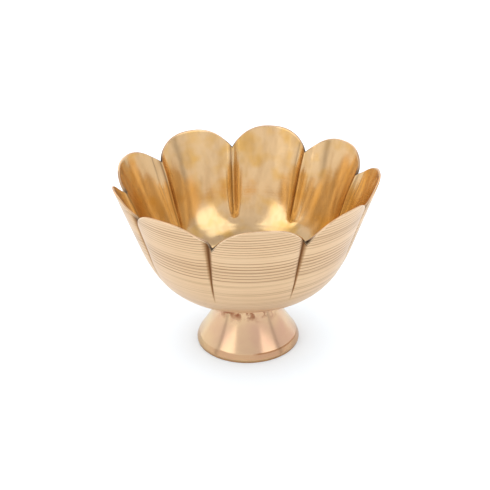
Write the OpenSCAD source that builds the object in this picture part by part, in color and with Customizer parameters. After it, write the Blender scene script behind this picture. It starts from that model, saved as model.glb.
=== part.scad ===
// Footed brass lotus bowl: a thin turned bowl cut into petals, a hollow flared foot and the
// brazed joint between them. Millimetres, +Z up, origin at the centre of the foot's base.

/* [Petal bowl] */
// Number of petals round the rim
petal_count = 9; // [7:1:12]
// Radius from the axis to a petal's tip
tip_r = 51.9; // [49:0.1:56]
// Height of the petal tips above the table
tip_z = 73.7; // [70:0.1:80]
// Radius where the floor would meet the wall if the turn between them were sharp
corner_r = 36.5; // [34:0.5:40]
// Height of that corner above the table
corner_z = 30.2; // [29:0.1:32]
// How far the notches between petals lie below the tips
notch_drop = 8.8; // [4:0.2:14]
// Roundness of a petal's arched edge, where 2 is a parabola
arch_power = 2.5; // [2:0.1:4]
// Wall thickness at the rim
rim_wall = 1; // [0.8:0.1:1.6]
// Wall thickness at the middle of the floor
floor_wall = 2.4; // [2:0.1:4]

/* [Creases between petals] */
// Depth of a crease at the rim
crease_depth = 1.2; // [0.4:0.1:1.6]
// Half width of a crease, as an angle round the axis
crease_angle = 2.2; // [1.5:0.1:4]
// How much the wall is drawn in between petals, beside the crease itself
lobe_depth = 0.6; // [0:0.1:1.5]
// Where a crease starts, as a share of the outline from foot to tip
crease_start = 0.43; // [0.3:0.01:0.6]

/* [Foot] */
// Radius of the foot's base
foot_r = 21.1; // [18:0.1:26]
// Height of the plain band round the base
band_h = 3.4; // [2:0.1:5]
// How far the band leans in towards its top edge
band_bevel = 1; // [0.4:0.1:2]
// Radius of the neck under the bowl
neck_r = 11; // [10:0.1:12]
// Height of the foot, where the bowl sits on it
foot_h = 23; // [20:0.5:24]
// How hollow the flare is, where 1 is a straight cone
flare_power = 1.35; // [1:0.05:1.8]
// Wall thickness of the foot
foot_wall = 2; // [1.6:0.1:2.6]

/* [Brazed joint] */
// Radius of the spigot under the bowl
spigot_r = 6.5; // [5:0.1:7]
// Length of the spigot
spigot_h = 4.5; // [3:0.1:6]
// Gap round the spigot that the filler runs into
braze_gap = 0.1; // [0.05:0.05:0.2]
// Width and height of the filler bead round the neck
bead = 1.3; // [0.8:0.1:1.5]

/* [Hidden] */

// Foot: the flare ends in a short straight collar that the bead lies against
collar_h = bead + 0.7;
flare_top_z = foot_h - collar_h;
seat_r = neck_r + bead + 0.3;
web_z = foot_h - spigot_h;
band_edge_z = 0.35 * band_h;
hollow_top_z = web_z - 1;
hollow_chamfer = 0.6;
flare_steps = 14;
bead_steps = 8;
round_steps = 180;

// Bowl outline: a straight floor, a rounded corner and a straight wall
floor_share = 0.57;
wall_share = 0.39;
floor_end = 0.22;
wall_start = 0.59;
seat_point = [seat_r, foot_h];
corner_point = [corner_r, corner_z];
tip_point = [tip_r, tip_z];
bend_from = seat_point + floor_share * (corner_point - seat_point);
bend_to = corner_point + wall_share * (tip_point - corner_point);
notch_share = (1 - wall_start) * notch_drop / (tip_z - bend_to[1]);

// Turned line where the floor of the bowl ends
step_at = 0.4;
step_h = 0.25;
step_run = 0.006;

// The wall thins from the floor to the rim at this rate
wall_taper = 1.5;

// Grid: columns crowd towards each crease, rows run from the foot to the rim
half_columns = 6;
column_crowding = 1.6;
crease_fade = 0.7;
rim_crown = 0.004;
seat_wall_rows = [0, 0.1, floor_end, 0.3, 0.36, step_at - step_run, step_at + step_run];
upper_rows = 8;
petal_angle = 360 / petal_count;
columns = petal_count * half_columns * 2;

// How far column i lies from its petal's middle, from -1 at one crease to 1 at the next
function across(i) =
    let (k = (i % (2 * half_columns)) - half_columns)
    sign(k) * (1 - pow(1 - abs(k) / half_columns, column_crowding));

// Angle of column i; the first petal points along -Y
function turn(i) = -90 + petal_angle * (floor(i / (2 * half_columns)) + across(i) / 2);

// Point of the outline at share s of the way from the foot to the tip
function outline(s) =
    s < floor_end ? seat_point + (bend_from - seat_point) * s / floor_end
    : s > wall_start ? bend_to + (tip_point - bend_to) * (s - wall_start) / (1 - wall_start)
    : let (b = (s - floor_end) / (wall_start - floor_end))
      (1 - b) * (1 - b) * bend_from + 2 * b * (1 - b) * corner_point + b * b * bend_to;

// Unit vector square to the outline, pointing out of the bowl
function outward(s) =
    let (
        way = s < floor_end ? bend_from - seat_point
            : s > wall_start ? tip_point - bend_to
            : let (b = (s - floor_end) / (wall_start - floor_end))
              (1 - b) * (corner_point - bend_from) + b * (bend_to - corner_point)
    )
    [way[1], -way[0]] / norm(way);

// Share of the outline at which column i reaches the crest of the rim
function rim_at(i) = 1 - notch_share * pow(abs(across(i)), arch_power);

// How far the wall of column i is pressed in at share s
function pressed(i, s) =
    let (
        grow = pow(max(0, (s - crease_start) / (1 - notch_share - crease_start)), crease_fade),
        from_crease = (1 - abs(across(i))) * petal_angle / 2
    )
    grow * (lobe_depth * pow(across(i), 2) + crease_depth * exp(-pow(from_crease / crease_angle, 2)));

// Wall thickness at share s, with the turned step at the edge of the floor
function wall(s) =
    rim_wall + (floor_wall - rim_wall) * pow(1 - s, wall_taper) + (s < step_at ? step_h : 0);

// A point of the bowl's skin, at share s of column i and a depth below the outer face
function skin(i, s, depth) =
    let (
        p = outline(s) - outward(s) * (pressed(i, s) + depth)
    )
    [p[0] * cos(turn(i)), p[0] * sin(turn(i)), p[1]];

// Share of the outline that row j of column i lies at; the upper rows follow the arched rim
function row_share(i, j) =
    j < len(seat_wall_rows) ? seat_wall_rows[j]
    : step_at + step_run
        + (rim_at(i) - rim_crown - step_at - step_run) * (j - len(seat_wall_rows) + 1) / upper_rows;

wall_rows = len(seat_wall_rows) + upper_rows;

// One ring of points round the axis at a fixed radius and height
function flat_ring(r, z) = [for (i = [0:columns - 1]) [r * cos(turn(i)), r * sin(turn(i)), z]];

// All rings of the bowl, from the spigot's end out along the underside, over the rim and back
function bowl_rings() = concat(
    [flat_ring(spigot_r, foot_h - spigot_h), flat_ring(spigot_r, foot_h)],
    [for (j = [0:wall_rows - 1]) [for (i = [0:columns - 1]) skin(i, row_share(i, j), 0)]],
    [[for (i = [0:columns - 1]) skin(i, rim_at(i), rim_wall / 2)]],
    [for (j = [wall_rows - 1:-1:0])
        [for (i = [0:columns - 1]) skin(i, row_share(i, j), wall(row_share(i, j)))]]
);

module petal_bowl() {
    rings = bowl_rings();
    points = concat([for (ring = rings) each ring],
        [[0, 0, foot_h - spigot_h], [0, 0, rings[len(rings) - 1][0][2]]]);
    low_pole = len(rings) * columns;
    high_pole = low_pole + 1;
    last = (len(rings) - 1) * columns;
    bands = [for (j = [0:len(rings) - 2], i = [0:columns - 1])
        let (
            a = j * columns + i,
            b = j * columns + (i + 1) % columns
        )
        each [[a, a + columns, b], [b, a + columns, b + columns]]];
    bottom = [for (i = [0:columns - 1]) [low_pole, i, (i + 1) % columns]];
    top = [for (i = [0:columns - 1]) [high_pole, last + (i + 1) % columns, last + i]];
    color("#E0BE8C")
        polyhedron(points, concat(bands, bottom, top), convexity = 6);
}

// Radius of the foot's flare at share t of its height
function flare_r(t) = neck_r + (foot_r - band_bevel - neck_r) * pow(1 - t, flare_power);

module pedestal_foot() {
    flare = [for (k = [0:flare_steps]) let (t = k / flare_steps)
        [flare_r(t), band_h + (flare_top_z - band_h) * t]];
    hollow = [for (k = [flare_steps:-1:0]) let (t = k / flare_steps)
        [flare_r(t) - foot_wall, hollow_top_z * t]];
    color("#D9B07A")
        rotate_extrude($fn = round_steps)
            polygon(concat(
                [[foot_r, 0], [foot_r, band_edge_z]],
                flare,
                [[neck_r, foot_h], [spigot_r + braze_gap, foot_h], [spigot_r + braze_gap, web_z]],
                [[neck_r - foot_wall - hollow_chamfer, web_z]],
                hollow
            ));
}

module neck_braze() {
    fillet = [for (k = [0:bead_steps]) let (a = 90 * k / bead_steps)
        [neck_r + bead * (1 - sin(a)), foot_h - bead * (1 - cos(a))]];
    color("#B4764A")
        rotate_extrude($fn = round_steps)
            polygon(concat([[neck_r, foot_h]], fillet));
}

petal_bowl();
pedestal_foot();
neck_braze();
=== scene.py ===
"""Small footed lotus bowl in brass: a turned shell cut into petals, a flared foot and a brazed neck."""

from __future__ import annotations

import logging
import math
from dataclasses import dataclass, field
from enum import Enum

import bpy
import numpy as np
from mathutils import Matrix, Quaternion, Vector


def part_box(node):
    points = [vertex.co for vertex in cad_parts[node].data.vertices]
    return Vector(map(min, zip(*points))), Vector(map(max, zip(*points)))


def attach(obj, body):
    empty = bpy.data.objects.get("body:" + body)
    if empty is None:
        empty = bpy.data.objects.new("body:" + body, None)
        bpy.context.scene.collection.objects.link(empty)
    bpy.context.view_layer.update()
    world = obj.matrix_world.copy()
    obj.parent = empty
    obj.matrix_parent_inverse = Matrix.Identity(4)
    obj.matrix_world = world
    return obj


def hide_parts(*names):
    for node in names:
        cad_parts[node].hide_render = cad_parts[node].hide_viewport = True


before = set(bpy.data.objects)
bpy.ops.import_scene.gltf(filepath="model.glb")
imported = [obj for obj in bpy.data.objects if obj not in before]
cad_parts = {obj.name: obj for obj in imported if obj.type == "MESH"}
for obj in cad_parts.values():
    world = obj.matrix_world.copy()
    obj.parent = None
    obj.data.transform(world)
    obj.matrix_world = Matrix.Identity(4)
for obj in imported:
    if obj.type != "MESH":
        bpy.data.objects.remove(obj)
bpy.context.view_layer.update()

MM = 0.001
BODY = "root"
log = logging.getLogger("lotus_bowl")


class Skin(Enum):
    """Which finish a face of the shell or foot takes, as the index of its material slot."""

    OUTSIDE = 0
    EDGE = 1
    INSIDE = 2


# ---------------------------------------------------------------- colour and node helpers


def linear(code: str) -> tuple[float, float, float, float]:
    """Turns an sRGB hex colour into linear light.

    Args:
        code: A colour such as "#E3C49B".

    Returns:
        Linear red, green and blue, and an alpha of 1.
    """
    channels = [int(code[i : i + 2], 16) / 255 for i in (1, 3, 5)]
    light = [c / 12.92 if c <= 0.04045 else ((c + 0.055) / 1.055) ** 2.4 for c in channels]
    return (*light, 1.0)


def add_node(
    tree: bpy.types.NodeTree, kind: str, inputs: dict | None = None, **settings: object
) -> bpy.types.Node:
    """Adds one shader node with its settings, values and links.

    Args:
        tree: The material's node tree.
        kind: The node's type name.
        inputs: Socket name or index to a plain value, or to the output socket that feeds it.
        settings: Attributes to set on the node itself.

    Returns:
        The new node.
    """
    node = tree.nodes.new(kind)
    for name, value in settings.items():
        setattr(node, name, value)
    for key, value in (inputs or {}).items():
        if isinstance(value, bpy.types.NodeSocket):
            tree.links.new(value, node.inputs[key])
        else:
            node.inputs[key].default_value = value
    return node


def set_ramp(node: bpy.types.Node, stops: list[tuple[float, float | str]]) -> None:
    """Sets a colour ramp's stops.

    Args:
        node: The ramp's node.
        stops: Each stop's position, and its grey level or hex colour.
    """
    ramp = node.color_ramp
    while len(ramp.elements) < len(stops):
        ramp.elements.new(0.5)
    for element, (place, tone) in zip(ramp.elements, stops):
        element.position = place
        element.color = linear(tone) if isinstance(tone, str) else (tone, tone, tone, 1.0)


# ---------------------------------------------------------------- surface helpers


def smooth_step(x: np.ndarray, low: float, high: float) -> np.ndarray:
    """Rises from 0 at low to 1 at high along the cubic 3t^2 - 2t^3.

    Args:
        x: Values to step.
        low: Where the step starts.
        high: Where the step ends.

    Returns:
        Values from 0 to 1, shaped like x.
    """
    t = np.clip((x - low) / (high - low), 0.0, 1.0)
    return t * t * (3.0 - 2.0 * t)


def bell(x: np.ndarray, width: float) -> np.ndarray:
    """A bell curve, exp(-(x / width)^2).

    Args:
        x: Distances from the curve's middle.
        width: Distance at which the curve has fallen to 1/e.

    Returns:
        Values from 0 to 1, shaped like x.
    """
    return np.exp(-((x / width) ** 2))


def ring_noise(turn: np.ndarray, seed: int, waves: int = 9) -> np.ndarray:
    """Smooth noise round a closed ring: a sum of sines whose height falls with their count.

    Args:
        turn: Angles round the axis in radians.
        seed: Picks the phases, so that the noise is the same on every run.
        waves: How many sines are added.

    Returns:
        Values of about -1 to 1, shaped like turn.
    """
    rng = np.random.default_rng(seed)
    counts = np.arange(1, waves + 1)
    phases = rng.uniform(0.0, 2.0 * np.pi, waves)
    heights = rng.uniform(0.5, 1.0, waves) / np.sqrt(counts)
    angles = counts * turn[..., None] + phases
    return (heights * np.sin(angles)).sum(-1) / np.sqrt((heights**2).sum())


def band_faces(rings: int, columns: int) -> np.ndarray:
    """Quads between successive closed rings.

    Args:
        rings: How many rings are stacked.
        columns: How many points each ring has, running anticlockwise.

    Returns:
        Four point numbers a quad, in the order that makes the face look outwards.
    """
    row = np.arange(rings - 1)[:, None] * columns
    here = np.arange(columns)[None, :]
    after = (here + 1) % columns
    quads = [row + here, row + after, row + columns + after, row + columns + here]
    return np.stack(quads, -1).reshape(-1, 4)


def build_mesh(
    name: str,
    rings: np.ndarray,
    poles: tuple[np.ndarray, np.ndarray] | None,
    skins: np.ndarray | None = None,
) -> bpy.types.Object:
    """Makes a closed object from a stack of closed rings.

    Args:
        name: The object's name.
        rings: Points as an array of rings by columns by 3, ordered so that faces look outwards.
        poles: The points that close the first and the last ring, or None where the stack itself
            closes on its first ring.
        skins: The material slot of each band of faces, one number a band.

    Returns:
        The new object, linked to the scene, at the origin.
    """
    count, columns = rings.shape[:2]
    points = rings.reshape(-1, 3)
    quads = band_faces(count, columns)
    last = (count - 1) * columns
    here = np.arange(columns)
    after = (here + 1) % columns
    if poles is None:
        closing = np.stack([last + here, last + after, after, here], -1)
        quads = np.vstack([quads, closing])
        corners = []
    else:
        points = np.vstack([points, *poles])
        first_pole = count * columns
        low = np.stack([np.full(columns, first_pole), after, here], -1)
        high = np.stack([np.full(columns, first_pole + 1), last + here, last + after], -1)
        corners = np.vstack([low, high]).tolist()
    mesh = bpy.data.meshes.new(name)
    mesh.from_pydata(points.tolist(), [], quads.tolist() + corners)
    mesh.validate()
    mesh.polygons.foreach_set("use_smooth", np.ones(len(mesh.polygons), dtype=bool))
    if skins is not None:
        slots = np.full(len(mesh.polygons), skins[-1], dtype=np.int32)
        slots[: len(skins) * columns] = np.repeat(skins, columns)
        if poles is not None:
            slots[len(skins) * columns : (len(skins) + 1) * columns] = skins[0]
        mesh.polygons.foreach_set("material_index", slots)
    mesh.update()
    piece = bpy.data.objects.new(name, mesh)
    bpy.context.scene.collection.objects.link(piece)
    return piece


def write_attribute(piece: bpy.types.Object, name: str, values: np.ndarray, spare: int = 0) -> None:
    """Stores one number a point on the mesh.

    Args:
        piece: The object.
        name: The attribute's name.
        values: One number for each point of the rings.
        spare: How many points follow the rings, such as poles; they take 0.
    """
    data = np.concatenate([values.reshape(-1), np.zeros(spare)]).astype(np.float32)
    piece.data.attributes.new(name, "FLOAT", "POINT").data.foreach_set("value", data)


def spun(radius: np.ndarray, height: np.ndarray, turn: np.ndarray) -> np.ndarray:
    """Carries points round the axis.

    Args:
        radius: Distances from the axis.
        height: Heights above the table.
        turn: Angles in radians.

    Returns:
        Points, with a last dimension of 3.
    """
    return np.stack([radius * np.cos(turn), radius * np.sin(turn), height + 0.0 * turn], -1)


# ---------------------------------------------------------------- finishes


@dataclass(frozen=True)
class ToolBand:
    """A band of the wall where the lathe tool left its lines: its heights, pitch and strength."""

    low: float
    high: float
    pitch: float
    weight: float
    fade: float = 2.5 * MM


@dataclass(frozen=True)
class TurnedBrass:
    """Yellow brass left as the lathe cut it: the tool's rings scatter the light and it looks pale."""

    name: str = "turned brass"
    pale: str = "#DFBF9A"
    deep: str = "#D3AF87"
    ring_dark: str = "#8E6640"
    # Painted shade: two colours for the creases' V, and a near-black one for the shadow line below the rim at
    # the notches.
    crease_shade_dark: str = "#744B2B"
    notch_shade_black: str = "#2E2013"
    crease_shade_mid: str = "#AB7F50"
    roughness: float = 0.36
    ring_pitch: float = 0.5 * MM
    streak_length: float = 110.0 * MM
    wander: float = 0.5 * MM
    wander_scale: float = 28.0
    cloud_scale: float = 45.0
    line_depth: float = 0.06 * MM
    crease_roughness: float = 0.6
    bands: tuple[ToolBand, ...] = (
        ToolBand(47.6 * MM, 60.0 * MM, 1.49 * MM, 0.8),
        ToolBand(60.5 * MM, 72.5 * MM, 1.16 * MM, 0.72),
    )

    def make(self) -> bpy.types.Material:
        """Builds the material: tool lines in two bands over fine broken ones, painted shade in creases and at
        notches.
        """
        material = bpy.data.materials.new(self.name)
        material.use_nodes = True
        tree = material.node_tree
        tree.nodes.clear()
        place = add_node(tree, "ShaderNodeTexCoord").outputs["Object"]
        along, across = 1.0 / self.streak_length, 1.0 / self.ring_pitch
        stretched = add_node(
            tree, "ShaderNodeMapping", {"Vector": place, "Scale": (along, along, across)}
        ).outputs["Vector"]
        fine = add_node(
            tree, "ShaderNodeTexNoise",
            {"Vector": stretched, "Scale": 1.0, "Detail": 3.0, "Roughness": 0.65},
        ).outputs["Fac"]
        lines = add_node(tree, "ShaderNodeValToRGB", {"Fac": fine})
        set_ramp(lines, [(0.36, 0.4), (0.43, 0.16), (0.51, 0.0)])
        marks = lines.outputs["Color"]
        height = add_node(tree, "ShaderNodeSeparateXYZ", {0: place}).outputs["Z"]
        drift = add_node(
            tree, "ShaderNodeTexNoise", {"Vector": place, "Scale": self.wander_scale, "Detail": 1.0}
        ).outputs["Fac"]
        wander = add_node(
            tree, "ShaderNodeMapRange",
            {"Value": drift, "To Min": -self.wander, "To Max": self.wander},
        ).outputs["Result"]
        tool_height = add_node(
            tree, "ShaderNodeMath", {0: height, 1: wander}, operation="ADD"
        ).outputs[0]
        broken = add_node(
            tree, "ShaderNodeMapRange", {"Value": fine, "From Min": 0.3, "From Max": 0.5, "To Min": 0.5}
        ).outputs["Result"]
        for band in self.bands:
            phase = add_node(
                tree, "ShaderNodeMath", {0: tool_height, 1: 2.0 * math.pi / band.pitch},
                operation="MULTIPLY",
            ).outputs[0]
            wave = add_node(tree, "ShaderNodeMath", {0: phase}, operation="SINE").outputs[0]
            line = add_node(
                tree, "ShaderNodeMapRange", {"Value": wave, "From Min": 0.5, "From Max": 0.97}
            ).outputs["Result"]
            below = add_node(
                tree, "ShaderNodeMapRange",
                {"Value": height, "From Min": band.low, "From Max": band.low + band.fade,
                 "To Max": band.weight},
                interpolation_type="SMOOTHSTEP",
            ).outputs["Result"]
            above = add_node(
                tree, "ShaderNodeMapRange",
                {"Value": height, "From Min": band.high - band.fade, "From Max": band.high,
                 "To Min": 1.0, "To Max": 0.0},
                interpolation_type="SMOOTHSTEP",
            ).outputs["Result"]
            inside = add_node(
                tree, "ShaderNodeMath", {0: below, 1: above}, operation="MULTIPLY"
            ).outputs[0]
            cut = add_node(
                tree, "ShaderNodeMath", {0: line, 1: broken}, operation="MULTIPLY"
            ).outputs[0]
            marks = add_node(
                tree, "ShaderNodeMath", {0: cut, 1: inside, 2: marks},
                operation="MULTIPLY_ADD", use_clamp=True,
            ).outputs[0]
        cloud = add_node(
            tree, "ShaderNodeTexNoise", {"Vector": place, "Scale": self.cloud_scale, "Detail": 2.0}
        ).outputs["Fac"]
        tone = add_node(
            tree, "ShaderNodeMix",
            {"Factor": cloud, "A": linear(self.pale), "B": linear(self.deep)},
            data_type="RGBA",
        ).outputs["Result"]
        ringed = add_node(
            tree, "ShaderNodeMix", {"Factor": marks, "A": tone, "B": linear(self.ring_dark)},
            data_type="RGBA",
        ).outputs["Result"]
        # Painted shade: the crease attribute darkens the creases' V, and makes it rougher.
        crease = add_node(tree, "ShaderNodeAttribute", attribute_name="crease").outputs["Fac"]
        crease_shade_ramp = add_node(tree, "ShaderNodeValToRGB", {"Fac": crease})
        set_ramp(crease_shade_ramp, [(0.0, 0.0), (0.3, 0.6), (0.8, 1.0)])
        crease_shade_colour = add_node(
            tree, "ShaderNodeMix",
            {"Factor": crease, "A": linear(self.crease_shade_mid), "B": linear(self.crease_shade_dark)},
            data_type="RGBA",
        ).outputs["Result"]
        crease_shaded = add_node(
            tree, "ShaderNodeMix",
            {"Factor": crease_shade_ramp.outputs["Color"], "A": ringed, "B": crease_shade_colour}, data_type="RGBA",
        ).outputs["Result"]
        # Painted shadow line: near black, just below the rim at the notches.
        notch_shade = add_node(tree, "ShaderNodeAttribute", attribute_name="notch_shade").outputs["Fac"]
        thickest = add_node(
            tree, "ShaderNodeMapRange",
            {"Value": notch_shade, "From Min": 0.15, "From Max": 0.6, "To Max": 0.9},
        ).outputs["Result"]
        colour = add_node(
            tree, "ShaderNodeMix",
            {"Factor": thickest, "A": crease_shaded, "B": linear(self.notch_shade_black)}, data_type="RGBA",
        ).outputs["Result"]
        dull = add_node(
            tree, "ShaderNodeMapRange",
            {"Value": crease, "To Min": self.roughness, "To Max": self.crease_roughness},
        ).outputs["Result"]
        bump = add_node(
            tree, "ShaderNodeBump", {"Height": marks, "Strength": 0.4, "Distance": -self.line_depth}
        ).outputs["Normal"]
        shader = add_node(
            tree, "ShaderNodeBsdfPrincipled",
            {"Base Color": colour, "Metallic": 1.0, "Roughness": dull, "Normal": bump},
        )
        add_node(tree, "ShaderNodeOutputMaterial", {"Surface": shader.outputs["BSDF"]})
        return material


@dataclass(frozen=True)
class PolishedBrass:
    """Yellow brass buffed on a wheel: clear reflections, deep gold where it mirrors itself."""

    name: str = "polished brass"
    bright: str = "#DDBE8B"
    warm: str = "#D9B066"
    # Colour of painted shade: on one flank of each inner ridge, and on the edge at the notches.
    shade_dark: str = "#6E4A26"
    stroke_dark: str = "#9C7440"
    stroke_share: float = 0.2
    roughness: float = 0.14
    ripple: float = 9.0 * MM
    ripple_strength: float = 0.25
    ripple_depth: float = 0.4 * MM
    scuff_width: float = MM / 0.3
    scuff_length: float = MM / 0.006
    line_length: float = 40.0 * MM
    line_pitch: float = MM / 1.5
    line_strength: float = 0.16
    line_depth: float = 0.05 * MM

    def make(self) -> bpy.types.Material:
        """Builds the material: slow ripples from hand work, faint turning lines, colour drift and painted
        shade.
        """
        material = bpy.data.materials.new(self.name)
        material.use_nodes = True
        tree = material.node_tree
        tree.nodes.clear()
        place = add_node(tree, "ShaderNodeTexCoord").outputs["Object"]
        drift = add_node(
            tree, "ShaderNodeTexNoise",
            {"Vector": place, "Scale": 0.9 / self.ripple, "Detail": 2.0},
        ).outputs["Fac"]
        patch = add_node(
            tree, "ShaderNodeMapRange", {"Value": drift, "From Min": 0.48, "From Max": 0.68}
        ).outputs["Result"]
        colour = add_node(
            tree, "ShaderNodeMix",
            {"Factor": patch, "A": linear(self.bright), "B": linear(self.warm)},
            data_type="RGBA",
        ).outputs["Result"]
        narrow, tall = 1.0 / self.scuff_width, 1.0 / self.scuff_length
        drawn_up = add_node(
            tree, "ShaderNodeMapping", {"Vector": place, "Scale": (narrow, narrow, tall)}
        ).outputs["Vector"]
        scuff = add_node(
            tree, "ShaderNodeTexNoise", {"Vector": drawn_up, "Scale": 1.0, "Detail": 2.0}
        ).outputs["Fac"]
        strokes = add_node(
            tree, "ShaderNodeMapRange",
            {"Value": scuff, "From Min": 0.45, "From Max": 0.7, "To Max": self.stroke_share},
        ).outputs["Result"]
        colour = add_node(
            tree, "ShaderNodeMix",
            {"Factor": strokes, "A": colour, "B": linear(self.stroke_dark)}, data_type="RGBA",
        ).outputs["Result"]
        # Painted shade from the crease attribute: one flank of each inner ridge, and the edge at the notches.
        painted_shade = add_node(tree, "ShaderNodeAttribute", attribute_name="crease").outputs["Fac"]
        colour = add_node(
            tree, "ShaderNodeMix",
            {"Factor": painted_shade, "A": colour, "B": linear(self.shade_dark)}, data_type="RGBA",
        ).outputs["Result"]
        wave = add_node(
            tree, "ShaderNodeTexNoise",
            {"Vector": place, "Scale": 1.0 / self.ripple, "Detail": 1.0},
        ).outputs["Fac"]
        along, across = 1.0 / self.line_length, 1.0 / self.line_pitch
        stretched = add_node(
            tree, "ShaderNodeMapping", {"Vector": place, "Scale": (along, along, across)}
        ).outputs["Vector"]
        lines = add_node(
            tree, "ShaderNodeTexNoise", {"Vector": stretched, "Scale": 1.0, "Detail": 2.0}
        ).outputs["Fac"]
        rippled = add_node(
            tree, "ShaderNodeBump",
            {"Height": wave, "Strength": self.ripple_strength, "Distance": self.ripple_depth},
        ).outputs["Normal"]
        lined = add_node(
            tree, "ShaderNodeBump",
            {"Height": lines, "Strength": self.line_strength, "Distance": self.line_depth,
             "Normal": rippled},
        ).outputs["Normal"]
        smear = add_node(
            tree, "ShaderNodeMapRange",
            {"Value": drift, "From Min": 0.3, "From Max": 0.7,
             "To Min": self.roughness, "To Max": self.roughness + 0.08},
        ).outputs["Result"]
        shader = add_node(
            tree, "ShaderNodeBsdfPrincipled",
            {"Base Color": colour, "Metallic": 1.0, "Roughness": smear, "Normal": lined},
        )
        add_node(tree, "ShaderNodeOutputMaterial", {"Surface": shader.outputs["BSDF"]})
        return material


@dataclass(frozen=True)
class BuffedFoot:
    """Cast brass buffed by hand: pinkish where the heat of brazing drew the zinc, stained by the neck."""

    name: str = "buffed foot brass"
    gold: str = "#DABD91"
    pink: str = "#D1AC8C"
    # Colour of wear plus painted shade on the band, its lowest millimetre and the band's top edge.
    wear_and_shade: str = "#A97B50"
    band_height: float = 3.3 * MM
    edge_line: float = 0.28 * MM
    drift_scale: float = 70.0
    blot_scale: float = 330.0
    stain: str = "#8C4F33"
    stain_low: float = 13.0 * MM
    stain_high: float = 17.5 * MM
    roughness: float = 0.2

    def make(self) -> bpy.types.Material:
        """Builds the material: slow colour drift, patchy reddish stains under the neck, fine haze, and wear
        with painted shade low down.
        """
        material = bpy.data.materials.new(self.name)
        material.use_nodes = True
        tree = material.node_tree
        tree.nodes.clear()
        place = add_node(tree, "ShaderNodeTexCoord").outputs["Object"]
        drift = add_node(
            tree, "ShaderNodeTexNoise", {"Vector": place, "Scale": self.drift_scale, "Detail": 3.0}
        ).outputs["Fac"]
        blend = add_node(
            tree, "ShaderNodeMapRange", {"Value": drift, "From Min": 0.35, "From Max": 0.65}
        ).outputs["Result"]
        metal = add_node(
            tree, "ShaderNodeMix",
            {"Factor": blend, "A": linear(self.gold), "B": linear(self.pink)}, data_type="RGBA",
        ).outputs["Result"]
        height = add_node(tree, "ShaderNodeSeparateXYZ", {0: place}).outputs["Z"]
        near_neck = add_node(
            tree, "ShaderNodeMapRange",
            {"Value": height, "From Min": self.stain_low, "From Max": self.stain_high},
            interpolation_type="SMOOTHSTEP",
        ).outputs["Result"]
        blot = add_node(
            tree, "ShaderNodeTexNoise", {"Vector": place, "Scale": self.blot_scale, "Detail": 4.0}
        ).outputs["Fac"]
        patches = add_node(tree, "ShaderNodeValToRGB", {"Fac": blot})
        set_ramp(patches, [(0.48, 0.0), (0.56, 0.75), (0.7, 1.0)])
        stained = add_node(
            tree, "ShaderNodeMath", {0: near_neck, 1: patches.outputs["Color"]},
            operation="MULTIPLY", use_clamp=True,
        ).outputs[0]
        colour = add_node(
            tree, "ShaderNodeMix",
            {"Factor": stained, "A": metal, "B": linear(self.stain)}, data_type="RGBA",
        ).outputs["Result"]
        # Wear plus painted shade: the band and its lowest millimetre are darkened to stand for the floor's
        # contact shadow reflected there, and a patchy dark line runs along the band's top edge.
        low = add_node(
            tree, "ShaderNodeMapRange",
            {"Value": height, "From Min": self.band_height - 0.3 * MM, "From Max": self.band_height,
             "To Min": 0.42, "To Max": 0.0},
        ).outputs["Result"]
        foot_line = add_node(
            tree, "ShaderNodeMapRange",
            {"Value": height, "From Min": 0.3 * MM, "From Max": 1.1 * MM,
             "To Min": 0.5, "To Max": 0.0},
        ).outputs["Result"]
        by_edge = add_node(
            tree, "ShaderNodeMath", {0: height, 1: self.band_height, 2: self.edge_line},
            operation="COMPARE",
        ).outputs[0]
        edge_patches = add_node(
            tree, "ShaderNodeMapRange",
            {"Value": drift, "From Min": 0.45, "From Max": 0.55, "To Min": 0.1, "To Max": 0.8},
        ).outputs["Result"]
        edge_line = add_node(
            tree, "ShaderNodeMath", {0: by_edge, 1: edge_patches}, operation="MULTIPLY"
        ).outputs[0]
        low_wear_and_shade = add_node(
            tree, "ShaderNodeMath", {0: low, 1: foot_line}, operation="ADD"
        ).outputs[0]
        wear_and_shade_mask = add_node(
            tree, "ShaderNodeMath", {0: low_wear_and_shade, 1: edge_line}, operation="ADD", use_clamp=True
        ).outputs[0]
        colour = add_node(
            tree, "ShaderNodeMix",
            {"Factor": wear_and_shade_mask, "A": colour, "B": linear(self.wear_and_shade)}, data_type="RGBA",
        ).outputs["Result"]
        dull = add_node(
            tree, "ShaderNodeMapRange",
            {"Value": stained, "To Min": self.roughness, "To Max": 0.5},
        ).outputs["Result"]
        bump = add_node(
            tree, "ShaderNodeBump", {"Height": drift, "Strength": 0.12, "Distance": 0.3 * MM}
        ).outputs["Normal"]
        shader = add_node(
            tree, "ShaderNodeBsdfPrincipled",
            {"Base Color": colour, "Metallic": 1.0, "Roughness": dull, "Normal": bump},
        )
        add_node(tree, "ShaderNodeOutputMaterial", {"Surface": shader.outputs["BSDF"]})
        return material


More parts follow.
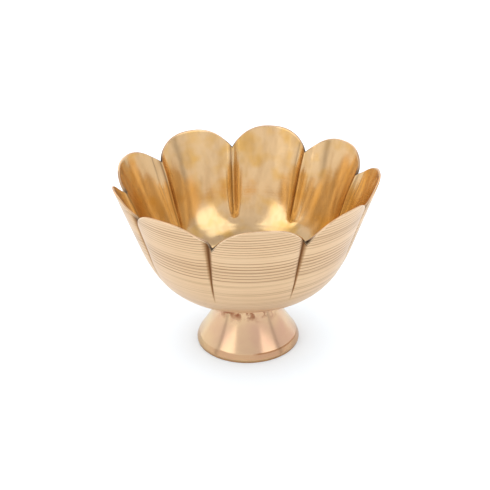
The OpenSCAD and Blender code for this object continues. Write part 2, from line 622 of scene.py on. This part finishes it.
@dataclass(frozen=True)
class CastBrass:
    """Brass as it left the sand: brownish, pitted and matt."""

    name: str = "sand cast brass"
    light: str = "#C79C66"
    dark: str = "#8A6238"
    grain: float = 0.8 * MM
    roughness: float = 0.55

    def make(self) -> bpy.types.Material:
        """Builds the material: mottled colour and a sandy bump."""
        material = bpy.data.materials.new(self.name)
        material.use_nodes = True
        tree = material.node_tree
        tree.nodes.clear()
        place = add_node(tree, "ShaderNodeTexCoord").outputs["Object"]
        mottle = add_node(
            tree, "ShaderNodeTexNoise", {"Vector": place, "Scale": 160.0, "Detail": 4.0}
        ).outputs["Fac"]
        colour = add_node(
            tree, "ShaderNodeMix",
            {"Factor": mottle, "A": linear(self.dark), "B": linear(self.light)}, data_type="RGBA",
        ).outputs["Result"]
        sand = add_node(
            tree, "ShaderNodeTexNoise", {"Vector": place, "Scale": 1.0 / self.grain, "Detail": 3.0}
        ).outputs["Fac"]
        bump = add_node(
            tree, "ShaderNodeBump", {"Height": sand, "Strength": 0.6, "Distance": 0.2 * MM}
        ).outputs["Normal"]
        shader = add_node(
            tree, "ShaderNodeBsdfPrincipled",
            {"Base Color": colour, "Metallic": 1.0, "Roughness": self.roughness, "Normal": bump},
        )
        add_node(tree, "ShaderNodeOutputMaterial", {"Surface": shader.outputs["BSDF"]})
        return material


@dataclass(frozen=True)
class BrazeFiller:
    """Copper-rich brazing filler, reddish brown with dark flux left in its hollows."""

    name: str = "braze filler"
    copper: str = "#B9714A"
    flux: str = "#4F3020"
    roughness: float = 0.42

    def make(self) -> bpy.types.Material:
        """Builds the material: copper and flux in patches, with a lumpy bump."""
        material = bpy.data.materials.new(self.name)
        material.use_nodes = True
        tree = material.node_tree
        tree.nodes.clear()
        place = add_node(tree, "ShaderNodeTexCoord").outputs["Object"]
        patch = add_node(
            tree, "ShaderNodeTexNoise", {"Vector": place, "Scale": 420.0, "Detail": 3.0}
        ).outputs["Fac"]
        ramp = add_node(tree, "ShaderNodeValToRGB", {"Fac": patch})
        set_ramp(ramp, [(0.35, self.flux), (0.52, self.copper), (0.75, "#D29A6C")])
        bump = add_node(
            tree, "ShaderNodeBump", {"Height": patch, "Strength": 0.5, "Distance": 0.15 * MM}
        ).outputs["Normal"]
        shader = add_node(
            tree, "ShaderNodeBsdfPrincipled",
            {"Base Color": ramp.outputs["Color"], "Metallic": 0.9, "Roughness": self.roughness,
             "Normal": bump},
        )
        add_node(tree, "ShaderNodeOutputMaterial", {"Surface": shader.outputs["BSDF"]})
        return material


# ---------------------------------------------------------------- sub-assemblies


@dataclass(frozen=True)
class ShellColumns:
    """Where each column of the shell's grid stands round the ring, one number a column.

    Attributes:
        turn: Angle round the axis in radians.
        across: Place between two creases, from -1 to 1.
        past_crease: Degrees past the nearest crease.
        notch_gap: Degrees past the nearest notch.
        rim: Share of the outline at which the column meets the rim.
        lean: Degrees by which the nearest crease leans here.
    """

    turn: np.ndarray
    across: np.ndarray
    past_crease: np.ndarray
    notch_gap: np.ndarray
    rim: np.ndarray
    lean: np.ndarray


@dataclass
class PetalShell:
    """The turned bowl with its petals cut and creased; replaces the plain CAD shell.

    A maker marks the petals out by eye. One petal, tight_petal, comes out narrow and its
    neighbours take up the error. The notches facing -Y are cut deeper. The creases are pressed with
    the bowl slightly off centre, so they lean most towards press_side and away from it.
    """

    petals: int = 9
    columns_a_petal: int = 30
    crowding: float = 1.6
    corner_radius: float = 36.5 * MM
    corner_height: float = 30.2 * MM
    floor_share: float = 0.57
    wall_share: float = 0.39
    floor_end: float = 0.22
    wall_start: float = 0.59
    outline_length: float = 69.0 * MM
    notch_drop: float = 8.8 * MM
    arch_power: float = 2.5
    rim_wall: float = 0.7 * MM
    rim_round: float = 0.1 * MM
    floor_wall: float = 2.4 * MM
    wall_taper: float = 1.5
    step_at: float = 0.4
    step_height: float = 0.1 * MM
    step_run: float = 0.016
    crease_start: float = 0.455
    crease_fade: float = 0.7
    lobe_depth: float = 0.7 * MM
    lobe_depth_inside: float = 2.1 * MM
    dent_depth: float = 0.6 * MM
    cut_depth: float = 0.8 * MM
    ridge_depth: float = 1.0 * MM
    dent_angle: float = 3.6
    cut_angle: float = 2.0
    ridge_angle: float = 2.2
    lean_reach: float = 9.0
    lean_from: float = 0.84
    lean_run: float = 0.38
    level_below: float = 0.06
    flute_ease_from: float = 0.72
    flute_ease_to: float = 0.95
    # Painted shadow line below the rim at the notches: its width up the wall, its reach round the ring, and
    # its strength on the lip.
    notch_shade_width: float = 0.7 * MM
    notch_shade_reach: float = 2.6
    lip_shade: float = 0.9
    # Painted shade on one flank of each inner ridge: its strength, its offset from the crease and its width,
    # in degrees.
    flank_shade_strength: float = 0.75
    flank_shade_offset: float = 0.9
    flank_shade_angle: float = 0.6
    seat_gap: float = 1.6 * MM
    neck_radius: float = 11.0 * MM
    spigot_radius: float = 6.5 * MM
    spigot_height: float = 4.5 * MM
    ring_depth: float = 0.04 * MM
    middle_pitch: float = 1.6 * MM
    rim_pitch: float = 1.25 * MM
    tight_petal: int = 7
    squeeze: float = 4.0
    squeeze_reach: int = 2
    deeper_cut: float = 1.7 * MM
    press_side: float = 60.0
    press_lean: float = 1.5
    press_slip: float = 2.0
    outside: TurnedBrass = field(default_factory=TurnedBrass)
    inside: PolishedBrass = field(default_factory=lambda: PolishedBrass(name="polished brass inside"))
    # The edge's dark shade colour is the painted near-black shadow at the notches.
    edge: PolishedBrass = field(
        default_factory=lambda: PolishedBrass(
            name="filed brass edge", bright="#DFC09A", warm="#D6B083", shade_dark="#2E2013"
        )
    )

    def __post_init__(self) -> None:
        """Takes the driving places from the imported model's boxes."""
        low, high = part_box("petal_bowl")
        self.tip_radius = -low[1] + self.rim_round
        self.tip_height = high[2]
        self.seat_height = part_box("pedestal_foot")[1][2]
        self.seat = np.array([self.neck_radius + self.seat_gap, self.seat_height])
        self.corner = np.array([self.corner_radius, self.corner_height])
        self.tip = np.array([self.tip_radius, self.tip_height])
        self.bend_from = self.seat + self.floor_share * (self.corner - self.seat)
        self.bend_to = self.corner + self.wall_share * (self.tip - self.corner)
        wall_rise = self.tip_height - self.bend_to[1]
        self.share_a_metre = (1.0 - self.wall_start) / wall_rise
        self.notch_share = self.share_a_metre * self.notch_drop
        gap = 360.0 / self.petals
        even = -90.0 + gap * (np.arange(self.petals) + 0.5)
        self.notch_turn = even + self.squeezed()
        off_centre = np.cos(np.radians(even - self.press_side))
        self.crease_turn = self.notch_turn + self.press_slip * np.minimum(off_centre, 0.0)
        self.crease_lean = self.press_lean * off_centre
        self.notch_cut = self.deeper_cut * (np.sin(np.radians(even)) < 0.0)

    def squeezed(self) -> np.ndarray:
        """How far each notch turns towards the narrow petal, in degrees.

        The turn is full at the two notches beside that petal and falls evenly to nothing
        squeeze_reach notches further on.
        """
        notch = np.arange(self.petals)
        ahead = (notch - self.tight_petal) % self.petals
        behind = (self.tight_petal - 1 - notch) % self.petals
        pull = np.clip(1.0 - np.stack([behind, ahead]) / self.squeeze_reach, 0.0, 1.0)
        return self.squeeze * (pull[0] - pull[1])

    def outline(self, share: np.ndarray) -> np.ndarray:
        """Radius and height of the outer face at a share of the way from the seat to the tip.

        A straight floor, a parabola that rounds the corner, and a straight wall.

        Args:
            share: Shares of the way, in any shape.

        Returns:
            Radius and height, in a last dimension of 2.
        """
        s = share[..., None]
        b = (s - self.floor_end) / (self.wall_start - self.floor_end)
        floor = self.seat + (self.bend_from - self.seat) * s / self.floor_end
        wall = self.bend_to + (self.tip - self.bend_to) * (s - self.wall_start) / (1.0 - self.wall_start)
        bend = (1 - b) ** 2 * self.bend_from + 2 * b * (1 - b) * self.corner + b**2 * self.bend_to
        return np.where(s < self.floor_end, floor, np.where(s > self.wall_start, wall, bend))

    def outward(self, share: np.ndarray) -> np.ndarray:
        """Unit vector square to the outline, out of the bowl: its direction turned by a quarter.

        Args:
            share: Shares of the way, in any shape.

        Returns:
            Radius and height parts, in a last dimension of 2.
        """
        s = share[..., None]
        b = np.clip((s - self.floor_end) / (self.wall_start - self.floor_end), 0.0, 1.0)
        way = (1 - b) * (self.corner - self.bend_from) + b * (self.bend_to - self.corner)
        way = way / np.linalg.norm(way, axis=-1, keepdims=True)
        return np.stack([way[..., 1], -way[..., 0]], -1)

    def turns(self) -> np.ndarray:
        """Every column's angle in degrees, sorted: crowded at each crease, with a few at each notch.

        Between two creases a column lies at k(1 - (1 - |k|)^crowding) for even steps k.
        """
        k = np.linspace(-1.0, 1.0, self.columns_a_petal, endpoint=False)
        place = np.sign(k) * (1.0 - (1.0 - np.abs(k)) ** self.crowding)
        before = np.roll(self.crease_turn, 1)
        before[0] -= 360.0
        middle = (before + self.crease_turn) / 2.0
        half = (self.crease_turn - before) / 2.0
        body = middle[:, None] + half[:, None] * place[None, :]
        corner = self.notch_turn[:, None] + np.array([-0.75, -0.3, 0.0, 0.35, 0.8])[None, :]
        every = np.sort(np.concatenate([body.reshape(-1), corner.reshape(-1)]) % 360.0)
        return every[np.concatenate([[True], np.diff(every) > 0.02])]

    @staticmethod
    def between(turn: np.ndarray, marks: np.ndarray) -> tuple[np.ndarray, np.ndarray]:
        """Where each angle lies between its two neighbouring marks round the ring.

        Args:
            turn: Angles in degrees.
            marks: The marks' angles in degrees, rising.

        Returns:
            The place from -1 at the mark before to 1 at the mark after, and the number of the
            nearer mark.
        """
        count = len(marks)
        ring = np.concatenate([marks - 360.0, marks, marks + 360.0])
        steps = np.interp(turn, ring, np.arange(3 * count))
        nearest = np.rint(steps).astype(int) % count
        return 2.0 * (steps % 1.0) - 1.0, nearest

    def fade(self, share: np.ndarray) -> np.ndarray:
        """How far a crease has grown: 0 at its start, 1 at the notch, along a soft root."""
        grown = (share - self.crease_start) / (1.0 - self.notch_share - self.crease_start)
        return np.maximum(0.0, grown) ** self.crease_fade

    def rings_relief(self, share: np.ndarray) -> np.ndarray:
        """The lathe tool's rings as a height from 0 to 1 along the outline.

        A sharpened sine at the tool's feed, strong in a band at the middle of the wall and in
        another by the rim, over finer rings that run all the way.
        """
        length = share * self.outline_length
        middle = bell(share - 0.67, 0.075) * (0.5 + 0.5 * np.sin(2 * np.pi * length / self.middle_pitch)) ** 2
        wander = 0.6 * np.sin(length / (2.1 * MM))
        rim_ring = (0.5 + 0.5 * np.sin(2 * np.pi * length / self.rim_pitch + wander)) ** 3
        rim = bell(share - 0.95, 0.09) * rim_ring
        fine = 0.3 * (0.5 + 0.5 * np.sin(2 * np.pi * length / (0.8 * self.rim_pitch) + 2.0 * wander)) ** 2
        return np.clip(middle + 0.7 * rim + fine * smooth_step(share, 0.4, 0.6), 0.0, 1.0)

    @staticmethod
    def past(turn: np.ndarray, mark: np.ndarray) -> np.ndarray:
        """How many degrees each angle lies past its mark, from -180 to 180."""
        return (turn - mark + 180.0) % 360.0 - 180.0

    def place_columns(self) -> ShellColumns:
        """Works out where every column stands: its notch, its crease and its height at the rim."""
        degrees = self.turns()
        across, crease = self.between(degrees, self.crease_turn)
        arch, notch = self.between(degrees, self.notch_turn)
        past_crease = self.past(degrees, self.crease_turn[crease])
        drop = self.notch_share + self.notch_cut[notch] * self.share_a_metre
        return ShellColumns(
            turn=np.radians(degrees),
            across=across,
            past_crease=past_crease,
            notch_gap=self.past(degrees, self.notch_turn[notch]),
            rim=1.0 - drop * np.abs(arch) ** self.arch_power,
            lean=self.crease_lean[crease] * bell(past_crease, self.lean_reach),
        )

    def row_shares(self, rim: np.ndarray) -> tuple[np.ndarray, np.ndarray]:
        """Shares of the outline that the rows follow: level low down, and arched towards the rim.

        Args:
            rim: The share at which each column meets the rim.

        Returns:
            The outer and the inner rows, each rows by columns; the inner wall has half as many.
        """
        count = len(rim)
        crown = 0.5 * self.rim_wall / self.outline_length
        start = 1.0 - self.notch_share - self.level_below
        floor_rows = [
            np.linspace(0.0, self.step_at - 1.5 * self.step_run, 22),
            np.linspace(self.step_at - self.step_run, self.step_at + self.step_run, 6),
        ]
        lower = np.concatenate(
            [*floor_rows, np.linspace(self.step_at + 1.5 * self.step_run, start, 84)]
        )
        on_floor = sum(len(rows) for rows in floor_rows)
        upper = np.linspace(0.0, 1.0, 44)[1:, None]
        arched = start + (rim - crown - start) * upper
        outer_share = np.vstack([np.repeat(lower[:, None], count, 1), arched])
        thinned = np.concatenate([lower[:on_floor], lower[on_floor::2]])
        inner_arched = start + (rim - crown - start) * upper[1::2]
        inner_share = np.vstack([np.repeat(thinned[:, None], count, 1), inner_arched])
        return outer_share, inner_share

    def outer_face(
        self, at: ShellColumns, share: np.ndarray
    ) -> tuple[np.ndarray, np.ndarray, np.ndarray]:
        """The outside: a broad dent at each crease with a chiselled V in it, and the lathe's rings.

        Args:
            at: The columns.
            share: Shares of the outline, rows by columns.

        Returns:
            Radius and height of the face, how deep in the V each point lies, and the painted
            shadow line below the rim by the notches.
        """
        gap = np.abs(at.past_crease)
        grown = self.fade(share)
        cut_width = self.cut_angle * np.clip(grown, 0.2, 1.2)
        cut = np.clip(1.0 - gap / cut_width, 0.0, 1.0) * np.minimum(grown * 3.0, 1.0)
        ring = self.rings_relief(share) * (1.0 - np.minimum(cut * 2.0, 1.0))
        pressed = grown * (
            self.lobe_depth * at.across**2 + self.dent_depth * bell(gap, self.dent_angle)
            + self.cut_depth * cut
        )
        depth = pressed + self.ring_depth * ring
        face = self.outline(share) - self.outward(share) * depth[..., None]
        # Painted shadow line just below the rim, strongest at the notches.
        rim_shade = bell(at.rim - share, self.notch_shade_width / self.outline_length)
        return face, cut, rim_shade * bell(at.notch_gap, self.notch_shade_reach)

    def inner_face(self, at: ShellColumns, share: np.ndarray) -> tuple[np.ndarray, np.ndarray]:
        """The inside: the same dent seen from behind, a smooth ridge with a rounded lower end.

        Args:
            at: The columns.
            share: Shares of the outline, rows by columns.

        Returns:
            Radius and height of the face, and the painted shade along one flank of each ridge.
        """
        step = smooth_step(share, self.step_at - self.step_run, self.step_at + self.step_run)
        wall = (
            self.rim_wall + (self.floor_wall - self.rim_wall) * (1.0 - share) ** self.wall_taper
            + self.step_height * (1.0 - step)
        )
        nose = smooth_step(share, self.crease_start - 0.035, self.crease_start + 0.08)
        eased = 1.0 - 0.5 * smooth_step(share, self.flute_ease_from, self.flute_ease_to)
        raised = (
            self.fade(share) * self.lobe_depth_inside * at.across**2 * eased
            + nose * self.ridge_depth * bell(at.past_crease, self.ridge_angle)
        )
        # Painted shade on one flank of each ridge, just off the crease.
        painted_shade = self.flank_shade_strength * nose * bell(at.past_crease - self.flank_shade_offset, self.flank_shade_angle)
        return self.outline(share) - self.outward(share) * (raised + wall)[..., None], painted_shade

    def lip(self, outer_edge: np.ndarray, inner_edge: np.ndarray) -> np.ndarray:
        """The rim: half a circle as thick as the wall, swept from the outer edge to the inner."""
        sweep = np.linspace(0.0, np.pi, 9)[1:-1, None]
        middle = (outer_edge + inner_edge) / 2.0
        half = (outer_edge - inner_edge) / 2.0
        up = (self.tip - self.bend_to) / np.linalg.norm(self.tip - self.bend_to)
        thick = np.linalg.norm(half, axis=-1, keepdims=True)
        return middle + half * np.cos(sweep)[..., None] + up * thick * np.sin(sweep)[..., None]

    def spigot(self, count: int) -> np.ndarray:
        """Radius and height of the short spigot underneath, the same in every one of count columns."""
        low = self.seat_height - self.spigot_height
        outline = np.array([
            [self.spigot_radius - 0.4 * MM, low],
            [self.spigot_radius, low + 0.4 * MM],
            [self.spigot_radius, self.seat_height - 0.05 * MM],
            [self.spigot_radius + 0.05 * MM, self.seat_height],
            [self.seat[0] - 0.1 * MM, self.seat_height],
        ])
        return np.repeat(outline[:, None, :], count, 1)

    def build(self) -> bpy.types.Object:
        """Computes the whole skin, from the spigot over the rim to the inner floor, as one grid."""
        at = self.place_columns()
        outer_share, inner_share = self.row_shares(at.rim)
        outer, cut, notch_shade = self.outer_face(at, outer_share)
        inner, painted_shade = self.inner_face(at, inner_share)
        lip = self.lip(outer[-1], inner[-1])
        spigot = self.spigot(len(at.turn))
        profile = np.concatenate([spigot, outer, lip, inner[::-1]])
        share = np.concatenate([
            np.repeat(outer_share[:1], len(spigot), 0), outer_share,
            np.repeat(outer_share[-1:], len(lip), 0), inner_share[::-1],
        ])
        swing = np.clip((self.lean_from - share) / self.lean_run, 0.0, 1.0)
        rings = spun(profile[..., 0], profile[..., 1], at.turn + np.radians(at.lean) * swing)
        poles = (
            np.array([0.0, 0.0, self.seat_height - self.spigot_height]),
            np.array([0.0, 0.0, rings[-1, 0, 2]]),
        )
        lip_from = len(spigot) + len(outer)
        lip_to = lip_from + len(lip)
        skins = np.full(len(rings) - 1, Skin.OUTSIDE.value)
        skins[lip_from - 1 : lip_to] = Skin.EDGE.value
        skins[lip_to:] = Skin.INSIDE.value
        piece = build_mesh("petal_shell", rings, poles, skins)
        # The crease attribute holds painted shade: the outer V, the lip at the notches, and one flank of each
        # inner ridge.
        crease = np.zeros(rings.shape[:2])
        crease[len(spigot) : lip_from] = cut
        crease[lip_from:lip_to] = self.lip_shade * bell(at.notch_gap, self.notch_shade_reach)
        crease[lip_to:] = painted_shade[::-1]
        write_attribute(piece, "crease", crease, len(poles))
        # Painted shadow line below the rim at the notches.
        by_notch = np.zeros(rings.shape[:2])
        by_notch[len(spigot) : lip_from] = notch_shade
        write_attribute(piece, "notch_shade", by_notch, len(poles))
        return piece

    def dress(self, piece: bpy.types.Object) -> None:
        """Gives the outside, the edge and the inside their finishes and ties the piece to the frame."""
        for finish in (self.outside, self.edge, self.inside):
            piece.data.materials.append(finish.make())
        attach(piece, BODY)
        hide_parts("petal_bowl")


@dataclass
class PedestalFoot:
    """The flared foot, hollow underneath, with a plain band round its base."""

    band_height: float = 3.4 * MM
    band_bevel: float = 1.0 * MM
    band_upright: float = 1.2 * MM
    neck_radius: float = 11.0 * MM
    collar_height: float = 2.0 * MM
    flare_power: float = 1.35
    wall: float = 2.0 * MM
    socket_radius: float = 6.6 * MM
    socket_depth: float = 4.5 * MM
    columns: int = 240
    waver: float = 0.05 * MM
    outside: BuffedFoot = field(default_factory=BuffedFoot)
    hollow: CastBrass = field(default_factory=CastBrass)

    def __post_init__(self) -> None:
        """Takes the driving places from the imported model's box."""
        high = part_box("pedestal_foot")[1]
        self.base_radius, self.height = high[0], high[2]
        self.flare_top = self.height - self.collar_height

    def flare_radius(self, height: np.ndarray) -> np.ndarray:
        """Radius of the outer face: a hollow curve (1 - t)^power from band to neck, then a collar."""
        t = np.clip((height - self.band_height) / (self.flare_top - self.band_height), 0.0, 1.0)
        edge = self.base_radius - self.band_bevel
        return self.neck_radius + (edge - self.neck_radius) * (1.0 - t) ** self.flare_power

    def build(self) -> bpy.types.Object:
        """Spins the wall's closed outline round the axis, with its corners eased by hand filing."""
        ease = 0.2 * MM
        radius, band = self.base_radius, self.band_height
        edge = radius - self.band_bevel
        base = np.array([
            [radius - 1.6 * ease, 0.0], [radius - 0.8 * ease, 0.15 * ease],
            [radius - 0.2 * ease, 0.7 * ease], [radius, 1.8 * ease],
            [radius, self.band_upright - ease], [radius - 0.1 * ease, self.band_upright],
            [radius - 0.5 * ease, self.band_upright + ease],
            [edge + 0.4 * ease, band - 0.9 * ease], [edge + 0.12 * ease, band - 0.3 * ease],
        ])
        heights = band + (self.flare_top - band) * np.linspace(0.0, 1.0, 60) ** 1.15
        heights[0] += 0.3 * ease
        flare = np.stack([self.flare_radius(heights), heights], -1)
        web = self.height - self.socket_depth
        top = np.array([
            [self.neck_radius, self.height - 0.5 * ease], [self.neck_radius - 0.5 * ease, self.height],
            [self.socket_radius + 0.5 * ease, self.height], [self.socket_radius, self.height - 0.5 * ease],
            [self.socket_radius, web], [self.neck_radius - self.wall - 0.6 * MM, web],
        ])
        t = np.linspace(1.0, 0.0, 30)
        hollow_height = (web - 1.0 * MM) * t
        neck_to_edge = edge - self.neck_radius
        hollow_radius = self.neck_radius + neck_to_edge * (1.0 - t) ** self.flare_power - self.wall
        hollow = np.stack([hollow_radius, hollow_height], -1)
        outline = np.concatenate([base, flare, top, hollow])
        turn = np.linspace(0.0, 2.0 * np.pi, self.columns, endpoint=False)[None, :]
        drift = self.waver * ring_noise(turn, 3, 5) * smooth_step(outline[:, 1], 0.0, band)[:, None]
        drift = drift * (1.0 - smooth_step(outline[:, 1], self.flare_top - 3.0 * MM, self.flare_top))[:, None]
        rings = spun(outline[:, :1] + drift, outline[:, 1:], turn)
        skins = np.full(len(rings), Skin.OUTSIDE.value)
        skins[len(base) + len(flare) + 2 :] = Skin.EDGE.value
        return build_mesh("foot_casting", rings, None, skins)

    def dress(self, piece: bpy.types.Object) -> None:
        """Buffed outside, bare casting in the hollow and on the base."""
        piece.data.materials.append(self.outside.make())
        piece.data.materials.append(self.hollow.make())
        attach(piece, BODY)
        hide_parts("pedestal_foot")


@dataclass
class NeckBraze:
    """The bead of filler round the neck, uneven as a torch leaves it."""

    foot: PedestalFoot
    width: float = 1.15 * MM
    drop: float = 1.5 * MM
    run: float = 2.6 * MM
    columns: int = 300
    steps: int = 14
    finish: BrazeFiller = field(default_factory=BrazeFiller)

    def build(self) -> bpy.types.Object:
        """A closed ring whose section is a hollow fillet, with runs where filler flowed down.

        At share v from its lower edge the bead stands off the foot by width v^2.2 and a thin skin.
        """
        turn = np.linspace(0.0, 2.0 * np.pi, self.columns, endpoint=False)
        runs = np.maximum(0.0, ring_noise(turn, 12, 14)) ** 2
        depth = self.drop * (1.0 + 0.12 * ring_noise(turn, 5, 12)) + self.run * np.minimum(runs, 1.0)
        width = self.width * (1.0 + 0.12 * ring_noise(turn, 8, 10))
        v = np.linspace(0.0, 1.0, self.steps)[:, None]
        height = self.foot.height - depth * (1.0 - v)
        lump = 0.05 * MM * np.sin(np.pi * v) * (1.5 + ring_noise(turn, 21, 24))
        from_top = (self.foot.height - height) / self.drop
        fillet = width * np.clip(1.0 - from_top, 0.0, 1.0) ** 2.2
        face = self.foot.flare_radius(height) + fillet + lump
        inner = self.foot.flare_radius(height[::-1]) - 0.08 * MM
        radius = np.concatenate([face, inner])
        rings = spun(radius, np.concatenate([height, height[::-1]]), turn[None, :])
        return build_mesh("braze_bead", rings, None)

    def dress(self, piece: bpy.types.Object) -> None:
        """Heat-stained filler."""
        piece.data.materials.append(self.finish.make())
        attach(piece, BODY)
        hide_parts("neck_braze")


# ---------------------------------------------------------------- studio


@dataclass
class Studio:
    """White floor, soft panels and the camera."""

    azimuth: float = -6.84
    elevation: float = 27.55
    distance: float = 415.4 * MM
    lens: float = 76.3
    roll: float = -0.9
    shift_x: float = -0.0036
    shift_y: float = 0.0106
    aim_height: float = 40.0 * MM
    floor_size: float = 8.0

    def floor(self) -> None:
        """A plain white sheet far larger than the view."""
        half = self.floor_size / 2
        mesh = bpy.data.meshes.new("floor")
        mesh.from_pydata(
            [(-half, -half, 0), (half, -half, 0), (half, half, 0), (-half, half, 0)],
            [], [(0, 1, 2, 3)],
        )
        sheet = bpy.data.objects.new("floor", mesh)
        bpy.context.scene.collection.objects.link(sheet)
        material = bpy.data.materials.new("white paper")
        material.use_nodes = True
        tree = material.node_tree
        tree.nodes.clear()
        shader = add_node(
            tree, "ShaderNodeBsdfPrincipled",
            {"Base Color": (0.86, 0.95, 0.97, 1.0), "Roughness": 0.9, "Specular IOR Level": 0.1},
        )
        add_node(tree, "ShaderNodeOutputMaterial", {"Surface": shader.outputs["BSDF"]})
        mesh.materials.append(material)

    def panel(
        self, name: str, azimuth: float, elevation: float, size: tuple[float, float],
        radiance: float, distance: float = 0.9, mirrored: bool = True,
    ) -> None:
        """One soft panel, facing the bowl; its power follows from the brightness wanted.

        Args:
            name: The light's name.
            azimuth: Degrees round the bowl, 0 on the side that faces -Y.
            elevation: Degrees above the floor.
            size: Width and height in metres.
            radiance: Brightness of its face.
            distance: Metres from the bowl.
            mirrored: Whether the brass mirrors the panel; one that only washes the paper is not.
        """
        data = bpy.data.lights.new(name, "AREA")
        data.shape = "RECTANGLE"
        data.size, data.size_y = size
        data.energy = radiance * math.pi * size[0] * size[1]
        a, e = math.radians(azimuth), math.radians(elevation)
        back = Vector((math.sin(a) * math.cos(e), -math.cos(a) * math.cos(e), math.sin(e)))
        light = bpy.data.objects.new(name, data)
        light.location = Vector((0, 0, self.aim_height)) + back * distance
        light.rotation_euler = (-back).to_track_quat("-Z", "Y").to_euler()
        light.visible_glossy = mirrored
        bpy.context.scene.collection.objects.link(light)

    def lights(self) -> None:
        """Two side panels with their dark stands, a back panel, a wash on the paper and a soft room."""
        self.panel("left_panel", -58.0, 43.0, (0.52, 0.7), 0.96)
        self.panel("right_panel", 45.0, 45.0, (0.52, 0.7), 0.98)
        self.panel("paper_wash", 0.0, 88.0, (2.4, 2.4), 0.72, mirrored=False)
        self.panel("back_panel", 180.0, 50.0, (1.2, 0.6), 0.8)
        world = bpy.data.worlds.new("room")
        world.use_nodes = True
        tree = world.node_tree
        direction = add_node(tree, "ShaderNodeTexCoord").outputs["Generated"]
        up = add_node(tree, "ShaderNodeSeparateXYZ", {0: direction}).outputs["Z"]
        shade = add_node(tree, "ShaderNodeValToRGB", {"Fac": up})
        set_ramp(shade, [(0.0, "#FFF9FF"), (0.3, "#F4EFF8"), (0.6, "#DFDAE3"), (1.0, "#C9C5CE")])
        sideways = add_node(tree, "ShaderNodeSeparateXYZ", {0: direction}).outputs["X"]
        right_dim = add_node(
            tree, "ShaderNodeMapRange",
            {"Value": sideways, "From Min": -0.1, "From Max": 0.5, "To Min": 1.2, "To Max": 1.1},
        ).outputs["Result"]
        tree.links.new(shade.outputs["Color"], tree.nodes["Background"].inputs["Color"])
        forward = add_node(tree, "ShaderNodeSeparateXYZ", {0: direction}).outputs["Y"]
        toward = add_node(
            tree, "ShaderNodeMath", {0: forward, 1: -1.0}, operation="MULTIPLY"
        ).outputs[0]
        round_room = add_node(
            tree, "ShaderNodeMath", {0: sideways, 1: toward}, operation="ARCTAN2"
        ).outputs[0]
        turned = add_node(
            tree, "ShaderNodeMapRange",
            {"Value": round_room, "From Min": -math.pi, "From Max": math.pi},
        ).outputs["Result"]
        stands = add_node(tree, "ShaderNodeValToRGB", {"Fac": turned})
        set_ramp(stands, [
            (0.265, 1.0), (0.275, 0.45), (0.281, 0.45), (0.291, 1.0),
            (0.671, 1.0), (0.681, 0.45), (0.687, 0.45), (0.697, 1.0),
        ])
        strength = add_node(
            tree, "ShaderNodeMath", {0: right_dim, 1: stands.outputs["Color"]},
            operation="MULTIPLY",
        ).outputs[0]
        tree.links.new(strength, tree.nodes["Background"].inputs["Strength"])
        bpy.context.scene.world = world

    def camera(self) -> None:
        """The camera, looking at the axis from the front and a little from the left."""
        data = bpy.data.cameras.new("camera")
        data.lens = self.lens
        data.shift_y = self.shift_y
        data.shift_x = self.shift_x
        a, e = math.radians(self.azimuth), math.radians(self.elevation)
        back = Vector((math.sin(a) * math.cos(e), -math.cos(a) * math.cos(e), math.sin(e)))
        eye = bpy.data.objects.new("camera", data)
        eye.location = Vector((0, 0, self.aim_height)) + back * self.distance
        eye.rotation_mode = "QUATERNION"
        tilt = Quaternion((0.0, 0.0, 1.0), math.radians(self.roll))
        eye.rotation_quaternion = (-back).to_track_quat("-Z", "Y") @ tilt
        bpy.context.scene.collection.objects.link(eye)
        bpy.context.scene.camera = eye

    def build(self) -> None:
        """Sets up the floor, the lights, the camera and a plain view transform."""
        self.floor()
        self.lights()
        self.camera()
        bpy.context.scene.view_settings.view_transform = "Standard"


def main() -> None:
    """Builds the studio and every piece of the bowl, in order."""
    logging.basicConfig(level=logging.INFO, format="%(name)s: %(message)s")
    Studio().build()
    foot = PedestalFoot()
    for maker in (PetalShell(), foot, NeckBraze(foot)):
        piece = maker.build()
        maker.dress(piece)
        log.info("%s: %d faces", piece.name, len(piece.data.polygons))


if __name__ == "__main__":
    main()
